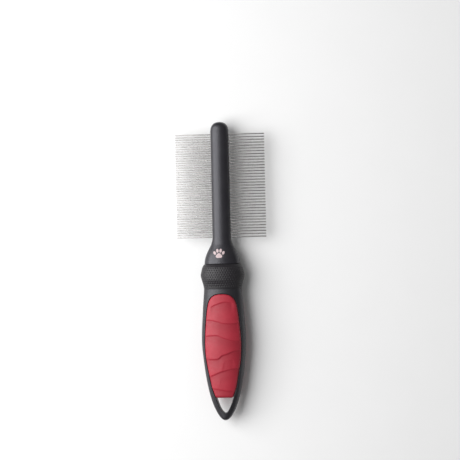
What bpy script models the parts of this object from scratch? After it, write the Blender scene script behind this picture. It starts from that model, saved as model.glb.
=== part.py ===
"""A two-sided grooming comb: fine steel teeth on one side, medium ones on the other, and a soft grip.

It lies on its back, as on a table. +Y runs along the comb to the tip of the spine, +X to the medium teeth
and +Z out of its front. The origin is on the table, under the middle of its length. Inside the code a place
is measured from the seam between spine and handle, on the plane of the teeth, where the empty "comb" sits.
What the back or the fine side has is built like its counterpart at the front or the medium side, under an
empty that is turned over about Y.
"""

import math

import bmesh
import bpy

MM = 0.001

# Driving sizes of the whole comb
HEAD_LENGTH = 104.7 * MM  # from the seam to the tip of the spine
HANDLE_LENGTH = 115.3 * MM  # from the seam to the end of the hanging loop
TEETH_HEIGHT = 10.5 * MM  # of the plane of the teeth above the table
GAP = 0.3 * MM  # left between neighbouring pieces
PART_LINE = GAP / 2  # each half shell stops this far from the plane of the teeth

# Teeth: round wire bent double, so that its two legs are two neighbouring teeth
WIRE = 0.9 * MM
ROW_LOW = 19.9 * MM  # the tooth nearest the handle
ROW_LENGTH = 75.6 * MM  # from the first tooth's centre to the last one's
FINE_TEETH = 45
MEDIUM_TEETH = 37
TOOTH_REACH = 33.2 * MM  # from the middle of the spine to a tooth's point
BEND_REACH = 2.15 * MM  # from the middle of the spine to the bend's near side
BEND_STEPS = 3
TIP_ROUNDING = 0.3 * MM
TIP_SHARE = 0.5  # of the wire's thickness, at the very point

# What holds the teeth inside the spine: a rack beside each row of bends and a bar between the two rows
RACK_INNER = 3.6 * MM
RACK_OUTER = 6.5 * MM
RACK_TOP = 0.5 * MM  # just over the wire, so that a shell keeps it in its notch
RACK_END = 1.6 * MM  # past the last tooth
NOTCH_HALF = 0.55 * MM
NOTCH_DEPTH = 0.55 * MM  # below the plane of the teeth
CORE_HALF_WIDTH = BEND_REACH - GAP
CORE_HALF = 1.3 * MM  # half of its thickness, and how deep the racks go
CORE_TOP = ROW_LOW + ROW_LENGTH + RACK_END

# Spine. Every thickness is from the plane of the teeth to a face.
SPINE_TIP_HALF = 6.75 * MM
SPINE_FOOT_HALF = 6.9 * MM
SPINE_THICK = 5.0 * MM
SPINE_DOME = 7.5 * MM  # length of its rounded end
DOME_WIDTH_POWER = 2.4
DOME_THICK_POWER = 3.0
FLARE_LENGTH = 19.6 * MM
FLARE_HALF = 13.2 * MM
FLARE_THICK = 8.6 * MM
EDGE = 0.5 * MM  # the rounding of the rim at the seam
SHOULDER_RISE = 0.2 * MM  # from tenon or neck to the rim round it
TENON_HALF = 8.4 * MM
TENON_THICK = 4.2 * MM
TENON_LENGTH = 17.5 * MM
TENON_SQUARENESS = 8.0

# Handle. Its places count down from the seam.
SEAM_GAP = 0.5 * MM
COLLAR_END = 18.3 * MM
NECK_START = 0.7 * MM
NECK_HALF = 12.0 * MM
NECK_THICK = 7.2 * MM
WINDOW_TOP = 21.8 * MM
PAD_END = 98.5 * MM
HOLE_END = 109.9 * MM
BED_START = 19 * MM
BED_END = 96 * MM
BED_INSET = 1 * MM
PAD_THICKNESS = 3.0 * MM
PAD_PROUD = 0.4 * MM
LIP_DROP = 0.6 * MM  # rounds the pad's edge at the hanging hole
WALL = 5.4 * MM  # from the handle's face, through the pad, to its hollow chambers
CHAMBERS = ((26 * MM, 43 * MM), (49 * MM, 65 * MM), (71 * MM, 88 * MM))

# Locating posts between two shells, as (distance from the middle, y)
POST_RADIUS = 1.2 * MM
POST_HEIGHT = 2.0 * MM
SPINE_POSTS = ((2.6 * MM, 100.4 * MM), (7 * MM, 8 * MM))
RIB_POSTS = ((4.5 * MM, -46 * MM), (4.5 * MM, -68 * MM))

SQUARENESS = 2.2  # of the oval sections; 2 is an ellipse
HALF_RING_STEPS = 14
POST_SIDES = 12
END_FLAT = 0.02 * MM  # from either end of the comb to its last section
NOSE_ROUND = 2.4 * MM  # the rounding of the loop's end, seen from the side
NOSE_POWER = 2.5  # of the superellipse that rounds it
BELOW = -1 * MM  # where a cutter starts, below the part line
BEYOND = 40 * MM  # where a cutter is past everything


def smooth_through(points):
    """A smooth function through (place, value) points, which never overshoots them."""
    places = [place for place, _ in points]
    values = [value for _, value in points]
    rises = [(values[i + 1] - values[i]) / (places[i + 1] - places[i]) for i in range(len(points) - 1)]
    slopes = [rises[0]]
    for before, after in zip(rises, rises[1:]):
        slopes.append(2 * before * after / (before + after) if before * after > 0 else 0.0)
    slopes.append(rises[-1])

    def value_at(place):
        place = min(max(place, places[0]), places[-1])
        i = max(k for k in range(len(rises)) if places[k] <= place)
        step = places[i + 1] - places[i]
        t = (place - places[i]) / step
        return (
            values[i] * (1 + 2 * t) * (1 - t) ** 2
            + slopes[i] * step * t * (1 - t) ** 2
            + values[i + 1] * t * t * (3 - 2 * t)
            - slopes[i + 1] * step * t * t * (1 - t)
        )

    return value_at


def spread(low, high, count):
    """Evenly spaced places from low to high, both included."""
    return [low + (high - low) * i / (count - 1) for i in range(count)]


# The share of the spine's flare over the distance from the seam, in millimetres
FLARE_SHARE = smooth_through(
    [(0, 1), (3, 0.95), (6, 0.82), (9, 0.62), (12, 0.37), (15, 0.15), (18, 0.03), (19.6, 0)]
)

# Half widths and thicknesses in millimetres. A nose is given over the square root of the distance from its
# end, which makes that end round; the others over the distance from the seam.
HANDLE_NOSE = smooth_through(
    [(0, 0), (2, 5.15), (4.2, 10.8), (5.2, 12.9), (6.5, 15.1), (7.7, 16.4), (9.0, 15.2), (9.84, 13.95)]
)
HANDLE_THICK = smooth_through(
    [(18, 8.8), (34, 9.4), (56, 10.3), (80, 8.9), (98, 6.3), (108, 4.4), (115.3, 3.4)]
)
COLLAR_HALF = smooth_through(
    [(0.5, 13.8), (1.6, 14.5), (3, 15.1), (5, 15.6), (8.1, 16.2), (11.5, 15.5), (15, 14.5), (18.3, 13.95)]
)
COLLAR_THICK = smooth_through([(0.5, 9.0), (2.5, 10.4), (6.5, 10.95), (11, 10.8), (14.5, 9.7), (18.3, 8.8)])
WINDOW_NOSE = smooth_through(
    [(0, 0), (0.6, 3.7), (1, 5.8), (1.79, 8.6), (2.5, 10.3), (3.3, 11.4), (5.2, 13.1)]
    + [(6.05, 13.6), (6.8, 13.2), (7.84, 10.7), (8.26, 9.4), (8.76, 6.6)]
)


def handle_half_width(place):
    return HANDLE_NOSE(math.sqrt(max(HANDLE_LENGTH - place, 0) / MM)) * MM


def handle_thickness(place):
    """Half thickness of the handle, rounded off towards the loop's end."""
    past = min(max(place - (HANDLE_LENGTH - NOSE_ROUND), 0) / NOSE_ROUND, 1)
    return HANDLE_THICK(place / MM) * MM * (1 - past**NOSE_POWER) ** (1 / NOSE_POWER)


def window_half_width(place):
    """Half width of the window in the handle that the pad fills."""
    return WINDOW_NOSE(math.sqrt(max(place - WINDOW_TOP, 0) / MM)) * MM


def hole_half_width(place):
    """Half width of the hanging hole, a rounded V with its point at HOLE_END."""
    above = max(HOLE_END - place, 0) / MM
    return (1.66 * math.sqrt(above) + 0.08 * above) * MM


def dome_share(y, power):
    """1 along the spine, and down to 0 at its tip."""
    t = max(y - (HEAD_LENGTH - SPINE_DOME), 0) / SPINE_DOME
    return (1 - t**power) ** (1 / power)


def spine_half_width(y):
    straight = SPINE_FOOT_HALF + (SPINE_TIP_HALF - SPINE_FOOT_HALF) * y / HEAD_LENGTH
    return straight * dome_share(y, DOME_WIDTH_POWER) + (FLARE_HALF - SPINE_FOOT_HALF) * FLARE_SHARE(y / MM)


def spine_thickness(y):
    return SPINE_THICK * dome_share(y, DOME_THICK_POWER) + (FLARE_THICK - SPINE_THICK) * FLARE_SHARE(y / MM)


def material(name, colour, roughness, metallic=0.0):
    made = bpy.data.materials.new(name)
    made.use_nodes = True
    made.diffuse_color = (*colour, 1)
    shader = made.node_tree.nodes["Principled BSDF"]
    shader.inputs["Base Color"].default_value = (*colour, 1)
    shader.inputs["Roughness"].default_value = roughness
    shader.inputs["Metallic"].default_value = metallic
    return made


class Bench:
    """The collections, the empties that everything hangs on, and the materials."""

    def __init__(self):
        for obj in list(bpy.data.objects):
            bpy.data.objects.remove(obj)
        self.parts = self.collection("grooming_comb")
        self.cutters = self.collection("cutters")
        seam_y = (HANDLE_LENGTH - HEAD_LENGTH) / 2
        comb = self.empty("comb", (0, seam_y, TEETH_HEIGHT), 0)
        turned_over = self.empty("turned_over", (0, seam_y, TEETH_HEIGHT), math.pi)
        self.side = {"front": comb, "back": turned_over, "medium": comb, "fine": turned_over}
        self.charcoal = material("charcoal_plastic", (0.045, 0.047, 0.052), 0.42)
        self.black = material("black_plastic", (0.022, 0.024, 0.026), 0.5)
        self.rubber = material("textured_rubber", (0.03, 0.029, 0.032), 0.75)
        self.red = material("red_rubber", (0.48, 0.035, 0.05), 0.55)
        self.nylon = material("nylon", (0.03, 0.03, 0.032), 0.5)
        self.steel = material("steel", (0.62, 0.6, 0.58), 0.28, 1.0)

    @staticmethod
    def collection(name):
        made = bpy.data.collections.new(name)
        bpy.context.scene.collection.children.link(made)
        return made

    def empty(self, name, place, turn):
        made = bpy.data.objects.new(name, None)
        made.location = place
        made.rotation_euler = (0, turn, 0)
        self.parts.objects.link(made)
        return made

    def add(self, name, data, surface=None, side="front", place=(0, 0, 0), turn=(0, 0, 0)):
        """A part where it belongs or, without a surface, a cutter that no render shows."""
        obj = bpy.data.objects.new(name, data)
        (self.parts if surface else self.cutters).objects.link(obj)
        obj.parent = self.side[side]
        obj.location = place
        obj.rotation_euler = turn
        if not surface:
            obj.hide_render = True
            obj.display_type = "WIRE"
        elif not data.materials:
            data.materials.append(surface)
        return obj


def boolean(obj, operation, *others):
    for other in others:
        cut = obj.modifiers.new(f"{operation.lower()} {other.name}", "BOOLEAN")
        cut.operation = operation
        cut.object = other


def shade_round(obj, sharp_over=35):
    obj.data.shade_smooth()
    obj.data.set_sharp_from_angle(angle=math.radians(sharp_over))


def arc_points(half_width, thickness, squareness, steps, turn):
    """Points of a superellipse from +X over +Z, for turn radians."""
    points = []
    for i in range(steps + 1):
        c, s = math.cos(turn * i / steps), math.sin(turn * i / steps)
        x = half_width * math.copysign(abs(c) ** (2 / squareness), c)
        z = thickness * math.copysign(abs(s) ** (2 / squareness), s)
        points.append((x, z))
    return points


def half_ring(y, half_width, thickness, squareness=SQUARENESS, floor=PART_LINE):
    """The front half of an oval section, closed flat at the floor."""
    arc = arc_points(half_width, thickness, squareness, HALF_RING_STEPS, math.pi)
    return [(x, y, max(z, floor)) for x, z in arc]


def full_ring(y, half_width, thickness):
    steps = 2 * HALF_RING_STEPS
    return [(x, y, z) for x, z in arc_points(half_width, thickness, SQUARENESS, steps, 2 * math.pi)[:-1]]


def loft(name, rings):
    """A closed mesh that skins unlike sections of equal point count, flat at both ends."""
    form = bmesh.new()
    rows = [[form.verts.new(point) for point in ring] for ring in rings]
    for low, high in zip(rows, rows[1:]):
        for i in range(len(low)):
            j = (i + 1) % len(low)
            form.faces.new((low[i], low[j], high[j], high[i]))
    form.faces.new(rows[0])
    form.faces.new(rows[-1])
    bmesh.ops.recalc_face_normals(form, faces=form.faces)
    return mesh_of(name, form)


def box(name, low, high):
    """A box between two corners."""
    form = bmesh.new()
    bmesh.ops.create_cube(form, size=1)
    for vertex in form.verts:
        for axis in range(3):
            vertex.co[axis] = high[axis] if vertex.co[axis] > 0 else low[axis]
    return mesh_of(name, form)


def post(name, radius, top):
    """A cylinder along Z, from below the part line to its top."""
    form = bmesh.new()
    size = {"radius1": radius, "radius2": radius, "depth": top - BELOW}
    bmesh.ops.create_cone(form, cap_ends=True, segments=POST_SIDES, **size)
    bmesh.ops.translate(form, verts=form.verts, vec=(0, 0, (top + BELOW) / 2))
    return mesh_of(name, form)


def mesh_of(name, form):
    mesh = bpy.data.meshes.new(name)
    form.to_mesh(mesh)
    form.free()
    return mesh


def flat_outline(name, points, thickness):
    """A filled 2D curve through (x, y) points, extruded to both sides."""
    curve = bpy.data.curves.new(name, "CURVE")
    curve.dimensions = "2D"
    curve.fill_mode = "BOTH"
    curve.extrude = thickness / 2
    spline = curve.splines.new("POLY")
    spline.points.add(len(points) - 1)
    for point, (x, y) in zip(spline.points, points):
        point.co = (x, y, 0, 1)
    spline.use_cyclic_u = True
    return curve


def window_cutter(bench, name, side, half_outline):
    """A cutter right through one half, with its outline as (half width, y) from its top to its end."""
    outline = half_outline + [(-x, y) for x, y in reversed(half_outline) if x > 0]
    drawn = bench.add(f"{name}_outline", flat_outline(name, outline, BEYOND), side=side)
    bpy.context.view_layer.update()
    graph = bpy.context.evaluated_depsgraph_get()
    mesh = bpy.data.meshes.new_from_object(drawn.evaluated_get(graph))
    form = bmesh.new()
    form.from_mesh(mesh)
    bmesh.ops.remove_doubles(form, verts=form.verts, dist=0.01 * MM)
    bmesh.ops.recalc_face_normals(form, faces=form.faces)
    form.to_mesh(mesh)
    form.free()
    solid = bench.add(name, mesh, side=side)
    bpy.data.objects.remove(drawn)
    return solid


# --- teeth and what holds them ---------------------------------------------------------------------------


def wire(name, points):
    """A round wire through (x, y, share of its thickness) points, closed at both ends."""
    curve = bpy.data.curves.new(name, "CURVE")
    curve.dimensions = "3D"
    curve.bevel_depth = WIRE / 2
    curve.bevel_resolution = 2
    curve.use_fill_caps = True
    spline = curve.splines.new("POLY")
    spline.points.add(len(points) - 1)
    for point, (x, y, share) in zip(spline.points, points):
        point.co = (x, y, 0, 1)
        point.radius = share
    return curve


def tooth_end(y):
    """The outer end of a tooth, from its rounded point inwards."""
    return [(TOOTH_REACH, y, TIP_SHARE), (TOOTH_REACH - TIP_ROUNDING, y, 1)]


def bend(pitch, quarter_turns):
    """The centre line of a bend half a pitch in radius, from the leg at +Y inwards."""
    radius = pitch / 2
    middle = BEND_REACH + WIRE / 2 + radius
    turns = [quarter_turns * math.pi / 2 * i / BEND_STEPS for i in range(BEND_STEPS + 1)]
    return [(middle - radius * math.sin(turn), radius * math.cos(turn), 1) for turn in turns]


def tooth_row(bench, side, count):
    """One row: pairs of teeth from the tip down, and by the handle the odd tooth, a wire with a hook."""
    pitch = ROW_LENGTH / (count - 1)
    leg = tooth_end(pitch / 2)
    other_leg = tooth_end(-pitch / 2)[::-1]
    pair = wire(f"{side}_tooth_pair", leg + bend(pitch, 2) + other_leg)
    for i in range(count // 2):
        middle = ROW_LOW + ROW_LENGTH - (2 * i + 0.5) * pitch
        bench.add(f"{side}_tooth_pair_{i + 1:02d}", pair, bench.steel, side, (0, middle, 0))
    end_tooth = wire(f"{side}_end_tooth", leg + bend(pitch, 1))
    bench.add(f"{side}_end_tooth", end_tooth, bench.steel, side, (0, ROW_LOW - pitch / 2, 0))


def tooth_rack(bench, side, count):
    """The nylon rack in whose notches one row of teeth lies, drawn in the plane of Y and Z."""
    pitch = ROW_LENGTH / (count - 1)
    outline = [(ROW_LOW - RACK_END, -CORE_HALF), (CORE_TOP, -CORE_HALF), (CORE_TOP, RACK_TOP)]
    for i in reversed(range(count)):
        low, high = ROW_LOW + i * pitch - NOTCH_HALF, ROW_LOW + i * pitch + NOTCH_HALF
        outline += [(high, RACK_TOP), (high, -NOTCH_DEPTH), (low, -NOTCH_DEPTH), (low, RACK_TOP)]
    outline.append((ROW_LOW - RACK_END, RACK_TOP))
    rack = flat_outline(f"{side}_tooth_rack", outline, RACK_OUTER - RACK_INNER)
    place = ((RACK_INNER + RACK_OUTER) / 2, 0, 0)
    bench.add(f"{side}_tooth_rack", rack, bench.nylon, side, place, (math.pi / 2, 0, math.pi / 2))


def core_bar(bench):
    """The bar between the two rows of bends: it backs them and runs down into the tenon."""
    low = (-CORE_HALF_WIDTH, -TENON_LENGTH + GAP, -CORE_HALF)
    high = (CORE_HALF_WIDTH, CORE_TOP, CORE_HALF)
    bench.add("core_bar", box("core_bar", low, high), bench.nylon)


# --- shells ----------------------------------------------------------------------------------------------


def locating_posts(bench, shell, side, places):
    """Sockets at +X and studs at -X, so that two equal shells fit when one is turned over."""
    for i, (x, y) in enumerate(places):
        name = f"{shell.name}_{i}"
        socket = post(f"{name}_socket", POST_RADIUS + GAP, POST_HEIGHT + GAP)
        boolean(shell, "DIFFERENCE", bench.add(f"{name}_socket", socket, side=side, place=(x, y, 0)))
        stud = post(f"{name}_stud", POST_RADIUS, POST_HEIGHT)
        boolean(shell, "UNION", bench.add(f"{name}_stud", stud, side=side, place=(-x, y, 0)))


def spine_mesh(name):
    """The tenon, a shoulder, the flare, the straight part and the dome at the tip."""
    ends = (-TENON_LENGTH, -SHOULDER_RISE)
    tenon = [half_ring(y, TENON_HALF, TENON_THICK, TENON_SQUARENESS) for y in ends]
    rim = half_ring(0, FLARE_HALF - EDGE, FLARE_THICK - EDGE)
    dome = [HEAD_LENGTH - SPINE_DOME * (1 - math.sin(turn)) for turn in spread(0, math.radians(80), 7)]
    places = spread(EDGE, FLARE_LENGTH, 9) + dome + [HEAD_LENGTH - END_FLAT]
    head = [half_ring(y, spine_half_width(y), spine_thickness(y)) for y in places]
    return loft(name, tenon + [rim] + head)


def spine_shell(bench, side):
    """One of the two halves that clamp the racks, teeth and core bar between them."""
    name = f"spine_{side}_shell"
    shell = bench.add(name, spine_mesh(name), bench.charcoal, side)
    low, high = ROW_LOW - RACK_END - GAP, CORE_TOP + GAP
    over_teeth, over_core = RACK_TOP + PART_LINE, CORE_HALF + PART_LINE
    channel_half = CORE_HALF_WIDTH + GAP
    for cutter, low_corner, high_corner in (
        ("notch_slot", (0, low, BELOW), (BEYOND, high, over_teeth)),
        ("rack_slot", (-BEYOND, low, BELOW), (0, high, over_core)),
        ("core_channel", (-channel_half, -BEYOND, BELOW), (channel_half, high, over_core)),
    ):
        mesh = box(f"{name}_{cutter}", low_corner, high_corner)
        boolean(shell, "DIFFERENCE", bench.add(f"{name}_{cutter}", mesh, side=side))
    locating_posts(bench, shell, side, SPINE_POSTS)
    shade_round(shell)


def handle_ring(place, inset=0.0, thinner=0.0, floor=PART_LINE):
    """The handle's own half section at a place, taken in at its sides and its face."""
    half_width, thickness = handle_half_width(place) - inset, handle_thickness(place) - thinner
    return half_ring(-place, half_width, thickness, floor=floor)


def handle_mesh(name):
    """The neck inside the collar, a shoulder, and the handle down to its loop, finer at the round nose."""
    shoulder = COLLAR_END + GAP
    neck = [half_ring(-place, NECK_HALF, NECK_THICK) for place in (NECK_START, shoulder - SHOULDER_RISE)]
    roots = spread(math.sqrt(HANDLE_LENGTH - shoulder), math.sqrt(END_FLAT), 24)
    places = [HANDLE_LENGTH - root * root for root in roots]
    return loft(name, neck + [handle_ring(place) for place in places])


def inner_form(name, low, high, count, inset, thinner):
    """The handle's own shape between two places, taken in."""
    return loft(name, [handle_ring(place, inset, thinner, BELOW) for place in spread(low, high, count)])


def window_outline(inset):
    """(half width, y) of the pad's window from its round top down to the pad's end, taken in by inset."""
    roots = spread(0, math.sqrt(PAD_END - WINDOW_TOP), 28)
    places = [WINDOW_TOP + root * root for root in roots]
    below_top = [place for place in places if window_half_width(place) > 2 * inset + END_FLAT]
    return [(0, -WINDOW_TOP - inset)] + [(window_half_width(place) - inset, -place) for place in below_top]


def handle_shell(bench, side):
    """One of the two halves that hold the tenon and carry the pads; together they are the hanging loop."""
    name = f"handle_{side}_shell"
    shell = bench.add(name, handle_mesh(name), bench.black, side)
    hole = [(hole_half_width(place), -place) for place in spread(PAD_END + MM, HOLE_END, 10)]
    window = window_cutter(bench, f"{name}_window", side, window_outline(0) + hole)
    bed = inner_form(f"{name}_bed", BED_START, BED_END, 14, BED_INSET, PAD_THICKNESS)
    boolean(window, "DIFFERENCE", bench.add(f"{name}_bed", bed, side=side))
    tenon_size = (TENON_HALF + GAP, TENON_THICK + GAP, TENON_SQUARENESS, BELOW)
    tenon = loft(f"{name}_tenon", [half_ring(y, *tenon_size) for y in (0, -TENON_LENGTH - GAP)])
    boolean(shell, "DIFFERENCE", window, bench.add(f"{name}_tenon", tenon, side=side))
    for i, (low, high) in enumerate(CHAMBERS):
        chamber = inner_form(f"{name}_chamber_{i}", low, high, 5, WALL, WALL)
        boolean(shell, "DIFFERENCE", bench.add(f"{name}_chamber_{i}", chamber, side=side))
    locating_posts(bench, shell, side, RIB_POSTS)
    shade_round(shell)


# --- soft pieces -----------------------------------------------------------------------------------------


def thumb_collar(bench, table):
    """The soft sleeve round the neck, which also hides the joint of the two shells."""
    places = [0.5, 1.6, 3.2, 5.0, 6.5, 8.1, 10, 12.5, 15, 18.3]
    rings = [full_ring(-place * MM, COLLAR_HALF(place) * MM, COLLAR_THICK(place) * MM) for place in places]
    collar = bench.add("thumb_collar", loft("thumb_collar", rings), bench.rubber)
    bore_rings = [full_ring(y, NECK_HALF + GAP, NECK_THICK + GAP) for y in (MM, -COLLAR_END - MM)]
    boolean(collar, "DIFFERENCE", bench.add("collar_bore", loft("collar_bore", bore_rings)), table)
    shade_round(collar)


def pad_mesh(name):
    """A crowned block over the whole window, a little proud of the handle."""
    rings = []
    for place in spread(WINDOW_TOP - MM, PAD_END - MM, 16) + [PAD_END]:
        sunk = LIP_DROP - PAD_PROUD if place == PAD_END else -PAD_PROUD
        rings.append(handle_ring(place, sunk, sunk))
    return loft(name, rings)


def grip_pad(bench, side):
    """A pad laid in its recess, with a lip that covers the end of the bed at the hanging hole."""
    name = f"{side}_grip"
    pad = bench.add(name, pad_mesh(name), bench.red, side)
    past_end = (window_half_width(PAD_END) - GAP, -PAD_END - MM)
    outline = window_cutter(bench, f"{name}_outline", side, window_outline(GAP) + [past_end])
    bed = inner_form(f"{name}_bed", BED_START, BED_END + GAP, 14, BED_INSET - GAP, PAD_THICKNESS - GAP)
    boolean(pad, "INTERSECT", outline)
    boolean(pad, "DIFFERENCE", bench.add(f"{name}_bed", bed, side=side))
    shade_round(pad)
    return pad


def build():
    bench = Bench()
    for side, count in (("fine", FINE_TEETH), ("medium", MEDIUM_TEETH)):
        tooth_row(bench, side, count)
        tooth_rack(bench, side, count)
    core_bar(bench)
    for side in ("front", "back"):
        spine_shell(bench, side)
        handle_shell(bench, side)
    # What lies on the table is cut flat by it.
    below_table = box("table", (-BEYOND, -HANDLE_LENGTH, -BEYOND), (BEYOND, HEAD_LENGTH, -TEETH_HEIGHT))
    table = bench.add("table", below_table)
    thumb_collar(bench, table)
    grip_pad(bench, "front")
    boolean(grip_pad(bench, "back"), "DIFFERENCE", table)


build()
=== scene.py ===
import math

import bmesh
import bpy
from mathutils import Matrix, Vector

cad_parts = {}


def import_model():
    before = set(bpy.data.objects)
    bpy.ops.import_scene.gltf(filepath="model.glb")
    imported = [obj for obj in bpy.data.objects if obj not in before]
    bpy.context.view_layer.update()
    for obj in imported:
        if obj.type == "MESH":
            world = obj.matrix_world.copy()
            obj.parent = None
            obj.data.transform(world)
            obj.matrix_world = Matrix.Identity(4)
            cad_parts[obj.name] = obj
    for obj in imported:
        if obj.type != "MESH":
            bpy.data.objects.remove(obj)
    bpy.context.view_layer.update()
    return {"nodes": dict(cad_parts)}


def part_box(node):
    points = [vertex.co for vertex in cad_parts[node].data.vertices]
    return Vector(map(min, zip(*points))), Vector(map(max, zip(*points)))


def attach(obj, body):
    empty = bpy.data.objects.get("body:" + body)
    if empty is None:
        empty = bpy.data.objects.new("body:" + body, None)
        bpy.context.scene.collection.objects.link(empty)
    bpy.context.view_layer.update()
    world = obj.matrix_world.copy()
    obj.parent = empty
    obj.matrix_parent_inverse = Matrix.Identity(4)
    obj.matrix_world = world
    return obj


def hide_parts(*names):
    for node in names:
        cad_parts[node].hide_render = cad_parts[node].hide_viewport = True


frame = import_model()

MM = 0.001

# --- places ---------------------------------------------------------------------------------------

SEAM_GAP = 0.5 * MM
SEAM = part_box("thumb_collar")[1].y + SEAM_GAP  # between spine and handle, read from the frame
PLANE = sum(corner.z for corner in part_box("medium_tooth_pair_01")) / 2  # of the teeth, read there too
HEAD_LENGTH = 104.7 * MM
HANDLE_LENGTH = 115.3 * MM
GAP = 0.3 * MM
PART_LINE = 0.04 * MM  # each half shell stops this far from the plane of the teeth
EASE = 0.15 * MM  # the rounding of an edge at a parting line
TO_ROW = Matrix.Translation((0, SEAM, PLANE))  # from the seam and the plane of the teeth
TURNED_OVER = Matrix.Rotation(math.pi, 4, "Y")  # makes a back piece, or a fine tooth, of its counterpart

# --- the comb's own shape, the same as in the CAD model -------------------------------------------

# Widths and thicknesses are halves. A place on the spine counts up from the seam, one on the handle or the
# collar counts down from it.

SPINE_TIP_HALF = 6.75 * MM
SPINE_FOOT_HALF = 6.9 * MM
SPINE_THICK = 5.0 * MM
SPINE_DOME = 7.5 * MM  # length of its rounded end
DOME_WIDTH_POWER = 2.4
DOME_THICK_POWER = 3.0
FLARE_LENGTH = 19.6 * MM
FLARE_HALF = 13.2 * MM
FLARE_THICK = 8.6 * MM
RIM = 0.5 * MM  # the rounding of the flare's rim at the seam
SQUARENESS = 2.2  # of the oval sections; 2 is an ellipse
TENON = (8.4 * MM, 4.2 * MM, 8.0)  # half width, thickness and squareness
TENON_LENGTH = 17.5 * MM
TENON_TOP = 0.2 * MM  # below the seam
CORE_HALF_WIDTH = 1.85 * MM
OVER_TEETH = 0.65 * MM  # from their plane to the shell over them
OVER_CORE = 1.45 * MM  # from that plane to the shell over the core bar and the rack
ROW_LOW = 19.9 * MM
ROW_LENGTH = 75.6 * MM
SLOT_LOW = ROW_LOW - 1.9 * MM
SLOT_HIGH = ROW_LOW + ROW_LENGTH + 1.9 * MM
COLLAR_END = 18.3 * MM
NECK = (12.0 * MM, 7.2 * MM)  # half width and thickness
SOCKET = (TENON[0] + GAP, TENON[1] + GAP, TENON[2])  # in the neck, for the tenon
NECK_START = 0.7 * MM
SHOULDER = COLLAR_END + 0.08 * MM
WINDOW_TOP = 21.8 * MM
PAD_END = 98.5 * MM
BED_END = 96 * MM
BED_INSET = 1 * MM
PAD_THICKNESS = 3.0 * MM
PAD_PROUD = 0.4 * MM  # of the handle's face
HOLE_END = 109.9 * MM
HOLE_ROUND = 1.66  # half width in millimetres of the hole's round point, one millimetre above it
HOLE_FLARE = 0.08  # by which the hole's half width grows besides, over its height
END_FLAT = 0.02 * MM  # from either end of the comb to its last section
NOSE_ROUND = 2.4 * MM  # the rounding of the loop's end, seen from the side
NOSE_POWER = 2.5  # of the superellipse that rounds it


def smooth_through(points):
    """A smooth function through (place, value) points, which never overshoots them."""
    places = [place for place, _ in points]
    values = [value for _, value in points]
    rises = [(values[i + 1] - values[i]) / (places[i + 1] - places[i]) for i in range(len(points) - 1)]
    slopes = [rises[0]]
    for before, after in zip(rises, rises[1:]):
        slopes.append(2 * before * after / (before + after) if before * after > 0 else 0.0)
    slopes.append(rises[-1])

    def value_at(place):
        place = min(max(place, places[0]), places[-1])
        i = max(k for k in range(len(rises)) if places[k] <= place)
        step = places[i + 1] - places[i]
        t = (place - places[i]) / step
        return (
            values[i] * (1 + 2 * t) * (1 - t) ** 2
            + slopes[i] * step * t * (1 - t) ** 2
            + values[i + 1] * t * t * (3 - 2 * t)
            - slopes[i + 1] * step * t * t * (1 - t)
        )

    return value_at


def spread(low, high, count):
    """Evenly spaced values from low to high, both included."""
    return [low + (high - low) * i / (count - 1) for i in range(count)]


def mix(a, b, share):
    return a + (b - a) * share


def smooth_step(t):
    t = min(max(t, 0), 1)
    return t * t * (3 - 2 * t)


# The share of the flare, and widths and thicknesses in millimetres, over the distance from the seam. A nose
# is given over the square root of the distance from its end, which makes that end round.
FLARE_SHARE = smooth_through(
    [(0, 1), (3, 0.95), (6, 0.82), (9, 0.62), (12, 0.37), (15, 0.15), (18, 0.03), (19.6, 0)]
)
HANDLE_NOSE = smooth_through(
    [(0, 0), (2, 5.15), (4.2, 10.8), (5.2, 12.9), (6.5, 15.1), (7.7, 16.4), (9.0, 15.2), (9.84, 13.95)]
)
HANDLE_THICK = smooth_through(
    [(18, 8.8), (34, 9.4), (56, 10.3), (80, 8.9), (98, 6.3), (108, 4.4), (115.3, 3.4)]
)
COLLAR_HALF = smooth_through(
    [(0.5, 13.8), (1.6, 14.5), (3, 15.1), (5, 15.6), (8.1, 16.2), (11.5, 15.5), (15, 14.5), (18.3, 13.95)]
)
COLLAR_THICK = smooth_through(
    [(0.5, 9.0), (2.5, 10.4), (6.5, 10.95), (11, 10.8), (14.5, 9.7), (18.3, 8.8)]
)
WINDOW_NOSE = smooth_through(
    [(0, 0), (0.6, 3.7), (1, 5.8), (1.79, 8.6), (2.5, 10.3), (3.3, 11.4), (5.2, 13.1)]
    + [(6.05, 13.6), (6.8, 13.2), (7.84, 10.7), (8.26, 9.4), (8.76, 6.6)]
)


def handle_half_width(place):
    return HANDLE_NOSE(math.sqrt(max(HANDLE_LENGTH - place, 0) / MM)) * MM


def handle_thickness(place):
    past = min(max(place - (HANDLE_LENGTH - NOSE_ROUND), 0) / NOSE_ROUND, 1)
    return HANDLE_THICK(place / MM) * MM * (1 - past**NOSE_POWER) ** (1 / NOSE_POWER)


def window_half_width(place):
    return WINDOW_NOSE(math.sqrt(max(place - WINDOW_TOP, 0) / MM)) * MM


def hole_half_width(place):
    above = max(HOLE_END - place, 0) / MM
    return (HOLE_ROUND * math.sqrt(above) + HOLE_FLARE * above) * MM


def dome_share(y, power):
    """The share of the spine's size that is left towards its round tip."""
    t = max(y - (HEAD_LENGTH - SPINE_DOME), 0) / SPINE_DOME
    return (1 - t**power) ** (1 / power)


def spine_half_width(y):
    straight = SPINE_FOOT_HALF + (SPINE_TIP_HALF - SPINE_FOOT_HALF) * y / HEAD_LENGTH
    flare = (FLARE_HALF - SPINE_FOOT_HALF) * FLARE_SHARE(y / MM)
    return straight * dome_share(y, DOME_WIDTH_POWER) + flare


def spine_thickness(y):
    flare = (FLARE_THICK - SPINE_THICK) * FLARE_SHARE(y / MM)
    return SPINE_THICK * dome_share(y, DOME_THICK_POWER) + flare


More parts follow.
